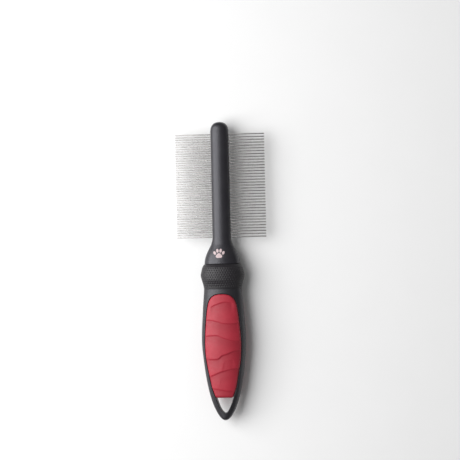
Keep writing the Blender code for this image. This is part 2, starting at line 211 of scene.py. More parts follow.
def oval_point(turn, half_width, thickness, squareness=SQUARENESS):
    """A point of a superellipse, as (x, z)."""
    c, s = math.cos(turn), math.sin(turn)
    x = half_width * math.copysign(abs(c) ** (2 / squareness), c)
    return x, thickness * math.copysign(abs(s) ** (2 / squareness), s)


def turn_at_height(z, thickness, squareness=SQUARENESS):
    """The turn at which an oval's side is at a height."""
    return math.asin(min(z / thickness, 1) ** (squareness / 2))


def turn_at_width(x, half_width, squareness=SQUARENESS):
    """The turn at which an oval's face is at a distance from the middle."""
    return math.acos(min(max(x / half_width, 0), 1) ** (squareness / 2))


def oval_height(x, half_width, thickness):
    """The height of an oval's face at a distance from the middle."""
    inside = max(1 - (abs(x) / half_width) ** SQUARENESS, 0)
    return thickness * inside ** (1 / SQUARENESS)


# --- pieces ---------------------------------------------------------------------------------------

WELD = 0.002 * MM  # points of a mesh closer than this are made one


def place_piece(name, data, surface, slot, *nodes, turned=False):
    """A piece of the comb, drawn from the seam, that stands for any CAD nodes named. The slot is not used.
    """
    data.transform(TO_ROW @ TURNED_OVER if turned else TO_ROW)
    data.materials.append(surface)
    piece = bpy.data.objects.new(name, data)
    bpy.context.scene.collection.objects.link(piece)
    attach(piece, "root")
    if nodes:
        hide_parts(*nodes)
    return piece


def finish_mesh(name, form, sharp_over=35):
    """The bmesh as a mesh, welded, closed, facing out and smooth but for its real edges."""
    bmesh.ops.remove_doubles(form, verts=form.verts, dist=WELD)
    open_edges = [edge for edge in form.edges if edge.is_boundary]
    if open_edges:
        bmesh.ops.holes_fill(form, edges=open_edges, sides=0)
    bmesh.ops.recalc_face_normals(form, faces=form.faces)
    mesh = bpy.data.meshes.new(name)
    form.to_mesh(mesh)
    form.free()
    mesh.shade_smooth()
    mesh.set_sharp_from_angle(angle=math.radians(sharp_over))
    return mesh


def skin_rows(form, rows, closed_across=True, closed_along=False):
    """Quads between rows of vertices of equal count; closed_along joins the last row to the first."""
    after = rows[1:] + rows[:1] if closed_along else rows[1:]
    for low, high in zip(rows, after):
        for i in range(len(low) if closed_across else len(low) - 1):
            j = (i + 1) % len(low)
            form.faces.new((low[i], low[j], high[j], high[i]))


# --- teeth ----------------------------------------------------------------------------------------

FINE_TEETH = 45
MEDIUM_TEETH = 37
WIRE_RADIUS = 0.45 * MM
WIRE_SMOOTHNESS = 6
TOOTH_REACH = 33.2 * MM  # from the middle of the spine to a tooth's point
BEND_REACH = 2.15 * MM  # from the middle of the spine to the bend's near side
TIP_STEPS = 6
TIP_FLAT = 0.06  # of the wire's thickness, at the very tip
BEND_TURN_STEPS = 12


def wire_curve(name, points):
    """A round wire in the plane of the teeth, through points given as (x, y, share of its thickness)."""
    curve = bpy.data.curves.new(name, "CURVE")
    curve.dimensions = "3D"
    curve.bevel_depth = WIRE_RADIUS
    curve.bevel_resolution = WIRE_SMOOTHNESS
    curve.use_fill_caps = True
    spline = curve.splines.new("POLY")
    spline.points.add(len(points) - 1)
    for point, (x, y, share) in zip(spline.points, points):
        point.co = (x, y, 0, 1)
        point.radius = share
    spline.use_smooth = True
    return curve


def tooth_leg(y):
    """A straight leg, from its round tip inwards."""
    leg = []
    for turn in spread(0, math.pi / 2, TIP_STEPS):
        leg.append((TOOTH_REACH - WIRE_RADIUS * (1 - math.cos(turn)), y, max(math.sin(turn), TIP_FLAT)))
    return leg


def wire_bend(pitch, quarter_turns):
    """The round bend from one leg towards the next; two quarter turns reach it."""
    radius = pitch / 2
    middle = BEND_REACH + WIRE_RADIUS + radius
    turns = spread(0, quarter_turns * math.pi / 2, BEND_TURN_STEPS)
    return [(middle - radius * math.sin(turn), radius * math.cos(turn), 1) for turn in turns]


def teeth(side, count, steel):
    """One row: a bent wire for each pair of teeth, and one with a hooked foot for the last odd tooth."""
    turned = side == "fine"
    pitch = ROW_LENGTH / (count - 1)
    leg, other_leg = tooth_leg(pitch / 2), tooth_leg(-pitch / 2)[::-1]
    for i in range(count // 2):
        name, node = f"{side}_wire_{i + 1:02d}", f"{side}_tooth_pair_{i + 1:02d}"
        wire = wire_curve(name, leg + wire_bend(pitch, 2) + other_leg)
        middle = ROW_LOW + ROW_LENGTH - (2 * i + 0.5) * pitch
        wire.transform(Matrix.Translation((0, middle, 0)))
        place_piece(name, wire, steel, "tooth_steel", node, turned=turned)
    name, node = f"{side}_end_wire", f"{side}_end_tooth"
    wire = wire_curve(name, leg + wire_bend(pitch, 1))
    wire.transform(Matrix.Translation((0, ROW_LOW - pitch / 2, 0)))
    place_piece(name, wire, steel, "tooth_steel", node, turned=turned)


# --- spine ----------------------------------------------------------------------------------------

SPINE_ARC_STEPS = 64
EASE_STEPS = 4
RIM_STEPS = 7
FLARE_STEPS = 30
FLARE_END_STEPS = 4
STRAIGHT_STEPS = 16
DOME_STEPS = 26
FLARE_START = 0.9 * MM  # the first section above the rounded rim
STRAIGHT_START = 25 * MM  # the first section well above the flare
DOME_TURN = math.radians(84)  # of the dome's last section but one
SIDE_SHARE = 0.55  # most of a thin section's height that its eased side takes
CHANNEL_SHARE = 0.9  # most of a thin section's width that the core's channel takes


def eased_side(floor, lift, half_width, thickness, squareness):
    """The side of a section up to a height, with its edge rounded at the parting line, as (x, z)."""
    side = []
    rounding = [EASE * (1 - math.cos(turn)) for turn in spread(0, math.pi / 2, EASE_STEPS)]
    halfway = (EASE + lift - floor) / 2
    for up in rounding + [halfway]:
        z = floor + up
        inset = EASE - math.sqrt(EASE**2 - max(EASE - up, 0) ** 2)
        x, _ = oval_point(turn_at_height(z, thickness, squareness), half_width, thickness, squareness)
        side.append((x - inset, z))
    return side


def spine_ring(y, half_width, thickness, squareness, teeth_floor, rack_floor, core_floor):
    """One section of the front shell: +X side, over the face, -X side, and back along its underside.

    The floors are the underside's heights over the teeth on +X, over the rack on -X and over the core bar.
    """
    lift = min(OVER_CORE + 2 * EASE, SIDE_SHARE * thickness)
    start = turn_at_height(lift, thickness, squareness)
    turns = spread(start, math.pi - start, SPINE_ARC_STEPS)
    arc = [oval_point(turn, half_width, thickness, squareness) for turn in turns]
    right = eased_side(min(teeth_floor, lift), lift, half_width, thickness, squareness)
    left = eased_side(min(rack_floor, lift), lift, half_width, thickness, squareness)
    inner = min(half_width * CHANNEL_SHARE, CORE_HALF_WIDTH + GAP)
    under = [(-inner, rack_floor), (-inner, core_floor), (inner, core_floor), (inner, teeth_floor)]
    return [(x, y, z) for x, z in right + arc + [(-x, z) for x, z in left[::-1]] + under]


def spine_sections():
    """Every section of the front shell from the foot of the tenon to the tip of the dome."""
    shut = (PART_LINE, PART_LINE, PART_LINE)
    channel = (PART_LINE, PART_LINE, OVER_CORE)
    slot = (OVER_TEETH, OVER_CORE, OVER_CORE)
    rings = [spine_ring(y, *TENON, *channel) for y in (-TENON_LENGTH, -TENON_TOP)]
    for turn in spread(0, math.pi / 2, RIM_STEPS):
        y, inset = RIM * (1 - math.cos(turn)), RIM * (1 - math.sin(turn))
        half_width, thickness = spine_half_width(0) - inset, spine_thickness(0) - inset
        rings.append(spine_ring(y, half_width, thickness, SQUARENESS, *channel))
    dome_turns = spread(0, DOME_TURN, DOME_STEPS)
    dome = [HEAD_LENGTH - SPINE_DOME * (1 - math.sin(turn)) for turn in dome_turns]
    flare_end = spread(SLOT_LOW, FLARE_LENGTH, FLARE_END_STEPS)
    straight = spread(STRAIGHT_START, dome[0] - MM, STRAIGHT_STEPS)
    stretches = (
        (spread(FLARE_START, SLOT_LOW, FLARE_STEPS), channel),
        (flare_end + straight + [SLOT_HIGH], slot),
        ([SLOT_HIGH] + [y for y in dome if y > SLOT_HIGH] + [HEAD_LENGTH - END_FLAT], shut),
    )
    for places, floors in stretches:
        for y in places:
            rings.append(spine_ring(y, spine_half_width(y), spine_thickness(y), SQUARENESS, *floors))
    return rings


def spine_shell(side, surface):
    """One half of the spine; the back is the front turned over."""
    form = bmesh.new()
    rows = [[form.verts.new(point) for point in ring] for ring in spine_sections()]
    skin_rows(form, rows)
    mesh = finish_mesh(f"spine_{side}", form)
    turned = side == "back"
    place_piece(f"spine_{side}", mesh, surface, "spine_plastic", f"spine_{side}_shell", turned=turned)


# --- handle ---------------------------------------------------------------------------------------

LIP_RADIUS = 0.35 * MM
LIP_STEPS = 6
LIP_TRIES = 4  # at finding where the lip starts, each nearer than the last
SLOPE_STEP = 0.05 * MM  # over which a slope is measured
SKIN_COLUMNS = 26
WINDOW_SAMPLES = 90
HOLE_SAMPLES = 26
BED_STEP = 0.01 * MM  # from the end of the bed to the outline's samples before and after it
BED_COLUMNS = (0.6, 0.2, -0.2, -0.6)  # shares of the window's half width
TOP_CORNER = 26  # the outline's sample whose skin ends at the shoulder's corner
SETTLED = 45 * MM  # from here to the pad's end the skin runs straight across
NOSE_CORNER = 0.9  # square root of the distance from the hole's point, in millimetres
NECK_STEPS = 40
NECK_SINK = 0.4 * MM  # how far the neck reaches into the shoulder
FLOOR_TOLERANCE = 0.01 * MM


def handle_height(x, place):
    """The height of the handle's face over the plane of the teeth."""
    return oval_height(x, handle_half_width(place), handle_thickness(place))


def bed_height(x, place):
    """The height of the bed under the pad."""
    half_width = handle_half_width(place) - BED_INSET
    return oval_height(x, half_width, handle_thickness(place) - PAD_THICKNESS)


def half_outline():
    """(half width, place) along the window and the hanging hole, from the round top to the hole's point."""
    roots = spread(0, math.sqrt(PAD_END - WINDOW_TOP), WINDOW_SAMPLES)
    roots += [math.sqrt(BED_END + past - WINDOW_TOP) for past in (-BED_STEP, BED_STEP)]
    window = [WINDOW_TOP + root * root for root in sorted(roots)]
    roots = spread(math.sqrt(HOLE_END - PAD_END), 0, HOLE_SAMPLES)[1:]
    hole = [HOLE_END - root * root for root in roots]
    return [(window_half_width(at), at) for at in window] + [(hole_half_width(at), at) for at in hole]


def lip_start(x, place, normal):
    """Where the fillet of the lip begins, outside an outline point, with the slope of the face there."""
    slope = 0.0
    for _ in range(LIP_TRIES):
        reach = LIP_RADIUS * (1 + math.sin(slope))
        here = (x + normal[0] * reach, place + normal[1] * reach)
        beyond = (here[0] + normal[0] * SLOPE_STEP, here[1] + normal[1] * SLOPE_STEP)
        fall = handle_height(*here) - handle_height(*beyond)
        slope = math.atan2(max(fall, 0), SLOPE_STEP)
    return here, slope


def skin_end(i, outline):
    """Where the skin beside an outline point ends: (turn, square root of the distance from the nose)."""
    place = outline[i][1]
    root = math.sqrt(HANDLE_LENGTH - place)
    top_root = math.sqrt(HANDLE_LENGTH - SHOULDER)
    if i < TOP_CORNER:
        floor_turn = turn_at_height(PART_LINE, handle_thickness(SHOULDER))
        return mix(math.pi / 2, floor_turn, i / TOP_CORNER), top_root
    corner_root = math.sqrt(HANDLE_LENGTH - outline[TOP_CORNER][1])
    settled = math.sqrt(HANDLE_LENGTH - SETTLED)
    if root > settled:
        root = mix(top_root, settled, (corner_root - root) / (corner_root - settled))
    if place > PAD_END:
        to_point = math.sqrt((HOLE_END - place) / MM)
        nose_root, start = math.sqrt(END_FLAT), math.sqrt(HANDLE_LENGTH - PAD_END)
        if to_point < NOSE_CORNER:
            floor_turn = turn_at_height(PART_LINE, handle_thickness(HANDLE_LENGTH - END_FLAT))
            return mix(math.pi / 2, floor_turn, to_point / NOSE_CORNER), nose_root
        share = (to_point - NOSE_CORNER) / (math.sqrt((HOLE_END - PAD_END) / MM) - NOSE_CORNER)
        root = mix(nose_root, start, share)
    floor_turn = turn_at_height(PART_LINE, handle_thickness(HANDLE_LENGTH - root * root))
    return floor_turn, root


def outward(i, outline):
    """The direction out of the window at one outline point."""
    if i == 0:
        return 0.0, -1.0
    if i == len(outline) - 1:
        return 0.0, 1.0
    before, after = outline[i - 1], outline[i + 1]
    across, along = after[0] - before[0], after[1] - before[1]
    length = math.hypot(across, along)
    return along / length, -across / length


def handle_column(i, outline):
    """Points beside one outline point on the +X half: the skin from its end to the lip, lip, and wall."""
    x, place = outline[i]
    normal = outward(i, outline)
    (start_x, start_place), slope = lip_start(x, place, normal)
    start_root = math.sqrt(HANDLE_LENGTH - start_place)
    start_turn = turn_at_width(start_x, handle_half_width(start_place))
    end_turn, end_root = skin_end(i, outline)
    points = []
    for share in spread(0, 1, SKIN_COLUMNS):
        turn, root = mix(end_turn, start_turn, share), mix(end_root, start_root, share)
        at = HANDLE_LENGTH - root * root
        px, pz = oval_point(turn, handle_half_width(at), handle_thickness(at))
        points.append((px, -at, pz))
    top = handle_height(start_x, start_place)
    centre_z = top - LIP_RADIUS * math.cos(slope)
    for turn in spread(0, math.pi / 2 + slope, LIP_STEPS)[1:]:
        out = LIP_RADIUS * (1 + math.sin(slope - turn))
        z = centre_z + LIP_RADIUS * math.cos(slope - turn)
        points.append((x + normal[0] * out, -(place + normal[1] * out), z))
    bottom = bed_height(x, place) if place < BED_END else PART_LINE
    points.append((x, -place, min(bottom, centre_z)))
    return points


def bed(form, right, left, outline):
    """The bed under the pad, from wall to wall. Its end and its underside are closed elsewhere."""
    rows = []
    for (x, place), right_column, left_column in zip(outline, right, left):
        if 0 < x and place < BED_END:
            middle = [(x * share, -place, bed_height(x * share, place)) for share in BED_COLUMNS]
            rows.append([right_column[-1]] + [form.verts.new(point) for point in middle] + [left_column[-1]])
    skin_rows(form, rows, closed_across=False)


def underside(form, right, left, outline):
    """The flat face at the parting line: whole under the bed, two strips by the hole, one at the nose."""
    last = len(outline) - 1
    bed_last = max(i for i, (_, place) in enumerate(outline) if place < BED_END)
    at_floor = [abs(column[0].co.z - PART_LINE) < FLOOR_TOLERANCE for column in right]
    floors = [i for i in range(TOP_CORNER, last + 1) if at_floor[i]]
    for i, j in zip(floors, floors[1:]):
        if j <= bed_last:
            form.faces.new((right[i][0], right[j][0], left[j][0], left[i][0]))
        elif i > bed_last:
            form.faces.new((right[i][0], right[j][0], right[j][-1], right[i][-1]))
            form.faces.new((left[i][0], left[j][0], left[j][-1], left[i][-1]))
    nose = range(floors[-1], last)
    cap = [right[i][0] for i in nose] + [right[last][0]] + [left[i][0] for i in nose[::-1]]
    point = [right[i][-1] for i in nose] + [right[last][-1]] + [left[i][-1] for i in nose[::-1]]
    form.faces.new(cap)
    form.faces.new([cap[0]] + point + [cap[-1]])


def neck(form):
    """Half of the neck under the collar, hollow for the spine's tenon."""
    outer_start = turn_at_height(PART_LINE, NECK[1])
    inner_start = turn_at_height(PART_LINE, SOCKET[1], SOCKET[2])
    outer = spread(outer_start, math.pi - outer_start, NECK_STEPS)
    inner = spread(math.pi - inner_start, inner_start, NECK_STEPS)
    section = [oval_point(turn, *NECK) for turn in outer] + [oval_point(turn, *SOCKET) for turn in inner]
    ends = (-NECK_START, -SHOULDER - NECK_SINK)
    skin_rows(form, [[form.verts.new((x, y, z)) for x, z in section] for y in ends])


def handle_shell(side, surface):
    """One half of the handle with its window, bed and hanging hole; the back is the front turned over."""
    outline = half_outline()
    form = bmesh.new()
    right = [[form.verts.new(point) for point in handle_column(i, outline)] for i in range(len(outline))]
    mirrored = [[form.verts.new((-v.co.x, v.co.y, v.co.z)) for v in column] for column in right[1:-1]]
    skin_rows(form, right + mirrored[::-1], closed_across=False, closed_along=True)
    left = [right[0]] + mirrored + [right[-1]]
    bed(form, right, left, outline)
    underside(form, right, left, outline)
    neck(form)
    mesh = finish_mesh(f"handle_{side}", form)
    turned = side == "back"
    place_piece(f"handle_{side}", mesh, surface, "handle_plastic", f"handle_{side}_shell", turned=turned)


# --- collar ---------------------------------------------------------------------------------------

COLLAR_START = 0.12 * MM
COLLAR_SIDES = 560
COLLAR_ROWS = 110
COLLAR_EDGE_STEPS = 6
COLLAR_TOP_EDGE = 0.45 * MM
COLLAR_LOW_EDGE = 0.12 * MM
COLLAR_MEAN = (15.5 * MM, 10.3 * MM)  # half width and thickness where the dimples are spaced evenly
DIMPLE_PITCH = 1.9 * MM
DIMPLE_RADIUS = 0.56 * MM
DIMPLE_DEPTH = 0.35 * MM
DIMPLE_BAND = (2.9 * MM, 16.6 * MM)


def dimple_depth(along, place):
    """Depth of the staggered round dimples, at a distance round the collar and down from the seam."""
    row_pitch = DIMPLE_PITCH * math.sqrt(3) / 2
    row = round((place - DIMPLE_BAND[0]) / row_pitch)
    depth = 0.0
    for r in (row - 1, row, row + 1):
        at = DIMPLE_BAND[0] + r * row_pitch
        if not DIMPLE_BAND[0] <= at <= DIMPLE_BAND[1]:
            continue
        shift = DIMPLE_PITCH / 2 if r % 2 else 0.0
        nearest = round((along - shift) / DIMPLE_PITCH) * DIMPLE_PITCH + shift
        away = math.hypot(along - nearest, place - at) / DIMPLE_RADIUS
        if away < 1:
            depth = max(depth, DIMPLE_DEPTH * (1 - away * away) ** 1.5)
    return depth


def distances_round():
    """The distance round the collar at each of its sides, stretched so that the dimples meet up."""
    points = [Vector(oval_point(math.tau * i / COLLAR_SIDES, *COLLAR_MEAN)) for i in range(COLLAR_SIDES + 1)]
    distances = [0.0]
    for a, b in zip(points, points[1:]):
        distances.append(distances[-1] + (b - a).length)
    whole = round(distances[-1] / DIMPLE_PITCH) * DIMPLE_PITCH
    return [distance * whole / distances[-1] for distance in distances]


def collar_sections():
    """(place, inset) of each section, close together where the two rims are rounded."""
    first, last = COLLAR_START + COLLAR_TOP_EDGE, COLLAR_END - COLLAR_LOW_EDGE
    turns = spread(0, math.pi / 2, COLLAR_EDGE_STEPS)
    sections = [(first - COLLAR_TOP_EDGE * math.cos(t), COLLAR_TOP_EDGE * (1 - math.sin(t))) for t in turns]
    sections += [(place, 0) for place in spread(first, last, COLLAR_ROWS)[1:-1]]
    turns.reverse()
    sections += [(last + COLLAR_LOW_EDGE * math.cos(t), COLLAR_LOW_EDGE * (1 - math.sin(t))) for t in turns]
    return sections


def collar(surface):
    """The dimpled rubber ring round the neck, flat where it lies on the table."""
    form = bmesh.new()
    shade_mask_of = form.verts.layers.float.new("hollow")
    along = distances_round()
    rows = []
    for place, inset in collar_sections():
        half_width, thickness = COLLAR_HALF(place / MM) * MM - inset, COLLAR_THICK(place / MM) * MM - inset
        ring = []
        for i in range(COLLAR_SIDES):
            depth = dimple_depth(along[i], place)
            x, z = oval_point(math.tau * i / COLLAR_SIDES, half_width, thickness)
            inwards = -Vector((x / half_width**2, z / thickness**2)).normalized()
            x, z = x + depth * inwards.x, z + depth * inwards.y
            vertex = form.verts.new((x, -place, max(z, -PLANE)))
            # Painted shade: the hollow attribute holds each dimple's depth, which darkens the rubber's
            # colour there.
            vertex[shade_mask_of] = depth / DIMPLE_DEPTH
            ring.append(vertex)
        rows.append(ring)
    turns = [math.tau * i / COLLAR_SIDES for i in range(COLLAR_SIDES)]
    bore = [oval_point(turn, NECK[0] + GAP, NECK[1] + GAP) for turn in turns]
    rows += [[form.verts.new((x, y, z)) for x, z in bore] for y in (-COLLAR_END, -COLLAR_START)]
    skin_rows(form, rows, closed_along=True)
    mesh = finish_mesh("collar", form, sharp_over=50)
    place_piece("collar", mesh, surface, "collar_rubber", "thumb_collar")


# --- mark -----------------------------------------------------------------------------------------

MARK_PLACE = (-1.4 * MM, 7.6 * MM)  # on the front of the flare
INK = 0.04 * MM
INK_RIM = 0.4  # share of its height that the ink has at its rim
INK_RISE = 4  # how fast it reaches the rest, over the way to the middle
INK_ROOT = 0.15 * MM  # how far the ink reaches into the plastic
PAW_SIDES = 28
PAW_RINGS = 4
PAW_MIDDLE = 0.02  # share of a pad's size that its innermost ring has
# The pads of a paw as (x, y, half width, half height, turn in degrees, lobes), in millimetres.
PAW_PADS = (
    (0.0, -1.45, 2.3, 1.75, 0, 0.13),
    (-3.2, 0.65, 0.95, 1.35, 26, 0),
    (-1.2, 2.25, 0.95, 1.4, 9, 0),
    (1.2, 2.25, 0.95, 1.4, -9, 0),
    (3.2, 0.65, 0.95, 1.35, -26, 0),
)


def paw_ring(paw_pad, share, rise):
    """Points round one pad of the paw at a share of its size, at a height over the face of the flare."""
    x, y, half_width, half_height, degrees, lobes = paw_pad
    turned = Matrix.Rotation(math.radians(degrees), 2)
    points = []
    for i in range(PAW_SIDES):
        turn = math.tau * i / PAW_SIDES
        out = turned @ Vector((half_width * math.cos(turn), half_height * math.sin(turn)))
        out *= share * (1 - lobes * math.sin(3 * turn))
        px, py = MARK_PLACE[0] + (x + out.x) * MM, MARK_PLACE[1] + (y + out.y) * MM
        face = oval_height(px, spine_half_width(py), spine_thickness(py))
        points.append((px, py, face + rise))
    return points


def paw_print(surface):
    """A paw in pale ink, each of its pads a thin closed body on the face of the flare."""
    form = bmesh.new()
    for paw_pad in PAW_PADS:
        top, root = [], []
        for ring in range(PAW_RINGS + 1):
            share = max(1 - ring / PAW_RINGS, PAW_MIDDLE)
            rise = INK * min(1, INK_RIM + INK_RISE * (1 - share))
            top.append([form.verts.new(point) for point in paw_ring(paw_pad, share, rise)])
            root.append([form.verts.new(point) for point in paw_ring(paw_pad, share, -INK_ROOT)])
        skin_rows(form, top[::-1] + root)
        form.faces.new(top[-1])
        form.faces.new(root[-1])
    place_piece("paw_print", finish_mesh("paw_print", form), surface, "spine_plastic")


# --- grips ----------------------------------------------------------------------------------------

PAD_COLUMNS = 130
PAD_UNDER_COLUMNS = 9
PAD_END_STEPS = 14
PAD_ROW_STEP = 0.24 * MM
PAD_FIRST_STEP = 0.02 * MM  # between the sections at the pad's round top
PAD_STEP_GROWTH = 0.25  # over the distance from the top
PAD_TOP_FLAT = 0.004 * MM  # from the pad's top to its first section
PAD_TOP_ZONE = 4 * MM  # where the pad's edge curves round the top
PAD_LEAST_HALF = 0.02 * MM
PAD_EDGE = 1.1 * MM
PAD_END_ROUND = 2.2 * MM
PAD_CORNER = 1.5 * MM  # the rounding of the pad's lower corners, seen from the front
WAVE_LENGTH = 11 * MM
WAVE_STEP = 1.3 * MM
WAVE_FADE = 3 * MM  # at an end of a line that stops short of the pad's side
# The steps of the overlapping waves across the grip: (depth, points as (x, distance from the seam)), in
# millimetres.
WAVES = (
    (0.45, ((-9.6, 32.2), (-3.8, 29.5), (2.4, 28.0), (6.5, 28.4), (9.5, 29.8))),
    (0.5, ((-13.5, 40.8), (-8.6, 41.1), (-3.4, 42.2), (1.0, 43.5), (6.2, 43.9), (13.5, 43.2))),
    (0.5, ((-14.5, 53.0), (-4.4, 52.3), (0.8, 54.2), (6.0, 55.7), (14.5, 57.4))),
    (
        0.55,
        ((-14.5, 68.4), (-9.1, 70.0), (-3.9, 69.7), (-0.2, 67.1), (3.4, 66.0), (7.9, 64.1), (14.5, 63.1)),
    ),
    (0.35, ((-1.5, 71.4), (4.0, 70.2), (9.5, 69.8))),
    (0.5, ((-12.5, 83.6), (-7.2, 81.5), (-2.7, 79.6), (1.7, 78.2), (7.6, 77.0), (13.5, 76.6))),
    (0.35, ((-4.5, 82.6), (1.0, 81.2), (6.5, 80.2), (11.5, 79.6))),
    (0.45, ((-10.5, 90.7), (-4.5, 92.2), (-0.8, 92.7), (4.0, 93.4), (9.0, 93.2))),
)
DEEPEST_WAVE = max(depth for depth, _ in WAVES) * MM
WAVE_LINES = [(depth, points[0][0], points[-1][0], smooth_through(points)) for depth, points in WAVES]


def wave_drop(x, place):
    """How far the waves sink the face: a step down just past each line, and a slow rise to the next."""
    drop = 0.0
    for depth, first, last, line in WAVE_LINES:
        if not first * MM < x < last * MM:
            continue
        past = place - line(x / MM) * MM
        if -WAVE_STEP < past < WAVE_LENGTH:
            fade = smooth_step((x - first * MM) / WAVE_FADE) * smooth_step((last * MM - x) / WAVE_FADE)
            down = smooth_step((past + WAVE_STEP / 2) / WAVE_STEP)
            drop = max(drop, depth * MM * fade * down * (1 - smooth_step(past / WAVE_LENGTH)))
    return drop


def edge_drop(away, radius):
    """The drop of a rounded edge at a distance in from it."""
    if away >= radius:
        return 0.0
    return radius - math.sqrt(radius**2 - (radius - max(away, 0)) ** 2)


def pad_rows():
    """Places of the pad's sections, close together at its round top and its end."""
    top = WINDOW_TOP + GAP
    places = []
    place = top + PAD_TOP_FLAT
    while place < PAD_END - PAD_END_ROUND:
        places.append(place)
        place += min(PAD_ROW_STEP, PAD_FIRST_STEP + PAD_STEP_GROWTH * (place - top))
    turns = spread(0, math.pi / 2, PAD_END_STEPS)
    return places + [PAD_END - PAD_END_ROUND * (1 - math.sin(turn)) for turn in turns]


def pad_half_width(place):
    """The window's half width taken in by the gap all round, its round top included."""
    growth = window_half_width(place + SLOPE_STEP) - window_half_width(place - SLOPE_STEP)
    gap = GAP * math.hypot(1, max(growth, 0) / (2 * SLOPE_STEP))
    corner = edge_drop(PAD_END - place, PAD_CORNER)
    return max(window_half_width(place) - gap - corner, PAD_LEAST_HALF)


def pad_face(outline, i):
    """The crowned, waved top of one section of the pad, as (x, z, hollow), hollow being the share of the
    deepest wave's drop that sets the painted shade.
    """
    half_width, place = outline[i]
    top_half, top = outline[0]
    near = [(w, p) for w, p in outline if abs(p - place) < 2 * PAD_EDGE]
    body, thickness = handle_half_width(place) + PAD_PROUD, handle_thickness(place) + PAD_PROUD
    end_drop = edge_drop(PAD_END - place, PAD_END_ROUND)
    face = []
    for share in spread(-1, 1, PAD_COLUMNS):
        x = half_width * math.sin(share * math.pi / 2)
        away = half_width - abs(x)
        if away < 2 * PAD_EDGE or place < WINDOW_TOP + PAD_TOP_ZONE:
            away = min(math.hypot(w - abs(x), p - place) for w, p in near)
            if abs(x) < top_half:
                away = min(away, place - top)
        wave = wave_drop(x, place)
        z = oval_height(x, body, thickness) - max(edge_drop(away, PAD_EDGE), end_drop) - wave
        face.append((x, z, wave / DEEPEST_WAVE))
    return face


def pad_under(half_width, place):
    """The underside of one section, over the bed and then, past the bed's end, down to the parting line."""
    under = []
    for share in spread(1, -1, PAD_UNDER_COLUMNS):
        x = half_width * share
        z = PART_LINE if place > BED_END + GAP else bed_height(x, place) + GAP
        under.append((x, z, 0))
    return under


def pad(side, surface):
    """One grip. The back one is flat where it lies on the table."""
    form = bmesh.new()
    shade_mask_of = form.verts.layers.float.new("hollow")
    top = PLANE if side == "back" else math.inf
    outline = [(pad_half_width(place), place) for place in pad_rows()]
    rows = []
    for i, (half_width, place) in enumerate(outline):
        row = []
        for x, z, hollow in pad_face(outline, i) + pad_under(half_width, place):
            vertex = form.verts.new((x, -place, min(z, top)))
            # Painted shade: the hollow attribute darkens the grip's colour past each wave step.
            vertex[shade_mask_of] = hollow
            row.append(vertex)
        rows.append(row)
    skin_rows(form, rows)
    mesh = finish_mesh(f"{side}_pad", form, sharp_over=60)
    place_piece(f"{side}_pad", mesh, surface, "grip_rubber", f"{side}_grip", turned=side == "back")


# --- materials ------------------------------------------------------------------------------------


class Surface:
    """A node material. Its textures lie in Object coordinates, metres in the comb's own frame."""

    def __init__(self, name, colour, roughness, **settings):
        self.material = bpy.data.materials.new(name)
        self.material.use_nodes = True
        self.tree = self.material.node_tree
        self.shader = self.tree.nodes["Principled BSDF"]
        self.shader.inputs["Base Color"].default_value = (*colour, 1)
        self.shader.inputs["Roughness"].default_value = roughness
        for key, value in settings.items():
            self.shader.inputs[key.replace("_", " ")].default_value = value
        self.coordinates = self.tree.nodes.new("ShaderNodeTexCoord").outputs["Object"]

    def noise(self, size, detail=2.0, stretch=(1, 1, 1)):
        """Noise from 0 to 1 whose features are about a size across, or longer along the stretched axes."""
        mapping = self.tree.nodes.new("ShaderNodeMapping")
        mapping.inputs["Scale"].default_value = [1 / share for share in stretch]
        texture = self.tree.nodes.new("ShaderNodeTexNoise")
        texture.inputs["Scale"].default_value = 1 / size
        texture.inputs["Detail"].default_value = detail
        self.tree.links.new(self.coordinates, mapping.inputs["Vector"])
        self.tree.links.new(mapping.outputs["Vector"], texture.inputs["Vector"])
        return texture.outputs["Fac"]

    def spots(self, size):
        """Distance to the nearest of many scattered points, 0 at each of them."""
        texture = self.tree.nodes.new("ShaderNodeTexVoronoi")
        texture.inputs["Scale"].default_value = 1 / size
        self.tree.links.new(self.coordinates, texture.inputs["Vector"])
        return texture.outputs["Distance"]

    def attribute(self, name):
        """A number that the mesh holds at each of its points."""
        node = self.tree.nodes.new("ShaderNodeAttribute")
        node.attribute_name = name
        return node.outputs["Fac"]

    def spread(self, value, low, high, onto=(0, 1)):
        """A value between low and high, spread onto another range."""
        node = self.tree.nodes.new("ShaderNodeMapRange")
        for key, number in zip(("From Min", "From Max", "To Min", "To Max"), (low, high, *onto)):
            node.inputs[key].default_value = number
        self.tree.links.new(value, node.inputs["Value"])
        return node.outputs["Result"]

    def blend(self, share, colour, other):
        """One colour where the share is 0, the other where it is 1; either may be a socket."""
        node = self.tree.nodes.new("ShaderNodeMix")
        node.data_type = "RGBA"
        self.tree.links.new(share, node.inputs["Factor"])
        for key, value in (("A", colour), ("B", other)):
            socket = [s for s in node.inputs if s.name == key and s.type == "RGBA"][0]
            if isinstance(value, tuple):
                socket.default_value = (*value, 1)
            else:
                self.tree.links.new(value, socket)
        return [s for s in node.outputs if s.type == "RGBA"][0]

    def paint(self, colour):
        """The colour of a socket as the surface's own."""
        self.tree.links.new(colour, self.shader.inputs["Base Color"])

    def roughen(self, value, low, high):
        """Roughness from low to high over the middle of a value's range."""
        self.tree.links.new(self.spread(value, 0.3, 0.7, (low, high)), self.shader.inputs["Roughness"])

    def emboss(self, *layers):
        """Bumps, each a height texture with its full depth in metres."""
        normal = None
        for height, depth in layers:
            bump = self.tree.nodes.new("ShaderNodeBump")
            bump.inputs["Distance"].default_value = depth
            self.tree.links.new(height, bump.inputs["Height"])
            if normal:
                self.tree.links.new(normal, bump.inputs["Normal"])
            normal = bump.outputs["Normal"]
        self.tree.links.new(normal, self.shader.inputs["Normal"])


